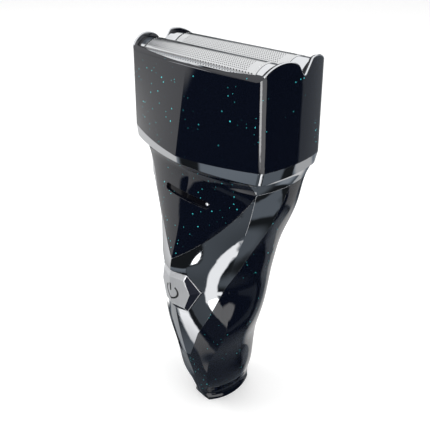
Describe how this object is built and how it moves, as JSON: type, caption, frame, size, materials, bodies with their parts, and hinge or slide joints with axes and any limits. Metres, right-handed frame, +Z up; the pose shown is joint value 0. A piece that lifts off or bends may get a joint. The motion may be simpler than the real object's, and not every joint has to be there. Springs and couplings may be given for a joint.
{
  "type": "electric shaver",
  "caption": "Upright electric shaver: broad foil head on a tapering waisted handle, chrome fascia with power button, flat foot to stand on.",
  "frame": {"origin": "centre of the foot's flat underside, on the handle's axis", "axes": "+Z up towards the foils, -Y is the front with the button, +X to the right along the foils seen from the front"},
  "size_m": [0.0658, 0.0435, 0.1509],
  "materials": {
    "navy_gloss": "deep navy gloss with fine blue flakes",
    "black_satin": "satin black",
    "chrome_trim": "plated plastic, polished",
    "grey_satin": "satin silver-grey",
    "foil_steel": "fine perforated steel sheet",
    "cutter_steel": "ground stainless steel",
    "screw_steel": "zinc-plated steel",
    "inner_plastic": "dark grey moulded",
    "drive_plastic": "natural white moulded",
    "cell_wrap": "plain shrink sleeve",
    "nickel": "nickel-plated strip",
    "board_green": "coated circuit board",
    "motor_can": "plated steel can",
    "lamp_lens": "clear diffused",
    "seal_rubber": "moulded rubber"
  },
  "bodies": {
    "handle": {"front_panel": "navy_gloss", "slot_window": "black_satin", "chrome_fascia": "chrome_trim", "strap_yoke": "navy_gloss", "rear_housing": "black_satin", "base_cap": "black_satin", "charging_socket": "nickel", "base_screws": "screw_steel", "inner_chassis": "inner_plastic", "cell": "cell_wrap", "cell_contacts": "nickel", "circuit_board": "board_green", "indicator_lamp": "lamp_lens", "push_switch": "black_satin", "top_deck": "inner_plastic", "deck_screws": "screw_steel", "shaft_seal": "seal_rubber", "neck_ring": "black_satin", "collar_band": "chrome_trim", "drive_motor": "motor_can", "leaf_springs": "cutter_steel"},
    "head": {"head_shell": "navy_gloss", "foil_frame": "chrome_trim"},
    "front_foil_unit": {"front_foil": "foil_steel", "front_foil_ends": "black_satin"},
    "rear_foil_unit": {"rear_foil": "foil_steel", "rear_foil_ends": "black_satin"},
    "bridge": {"drive_bridge": "drive_plastic", "front_cutter_spring": "cutter_steel", "rear_cutter_spring": "cutter_steel"},
    "front_cutter": {"front_cutter_carrier": "drive_plastic", "front_cutter_blades": "cutter_steel"},
    "rear_cutter": {"rear_cutter_carrier": "drive_plastic", "rear_cutter_blades": "cutter_steel"},
    "shaft": {"motor_shaft": "screw_steel", "eccentric": "drive_plastic"},
    "button": {"power_button": "grey_satin", "switch_plunger": "drive_plastic"}
  },
  "joints": [
    {"name": "head_lift", "type": "slide", "parent": "handle", "child": "head", "axis": [0, 0, 1], "range_m": [0, 0.03]},
    {"name": "front_foil_float", "type": "slide", "parent": "head", "child": "front_foil_unit", "axis": [0, 0, -1], "range_m": [0, 0.0012], "stiffness_N_per_m": 400},
    {"name": "rear_foil_float", "type": "slide", "parent": "head", "child": "rear_foil_unit", "axis": [0, 0, -1], "range_m": [0, 0.0012], "stiffness_N_per_m": 400},
    {"name": "bridge_stroke", "type": "slide", "parent": "handle", "child": "bridge", "axis": [1, 0, 0], "range_m": [-0.0012, 0.0012], "stiffness_N_per_m": 400},
    {"name": "front_cutter_float", "type": "slide", "parent": "bridge", "child": "front_cutter", "axis": [0, 0, -1], "range_m": [0, 0.0012], "deforming": ["front_cutter_spring"]},
    {"name": "rear_cutter_float", "type": "slide", "parent": "bridge", "child": "rear_cutter", "axis": [0, 0, -1], "range_m": [0, 0.0012], "deforming": ["rear_cutter_spring"]},
    {"name": "shaft_spin", "type": "hinge", "parent": "handle", "child": "shaft", "pos_m": [0, -0.0005, 0.095], "axis": [0, 0, 1], "continuous": true},
    {"name": "button_press", "type": "slide", "parent": "handle", "child": "button", "axis": [0, 1, 0], "range_m": [0, 0.0008], "stiffness_N_per_m": 700}
  ],
  "couplings": [
    {"joint": "front_cutter_float", "follows": "front_foil_float", "ratio": 1},
    {"joint": "rear_cutter_float", "follows": "rear_foil_float", "ratio": 1}
  ]
}
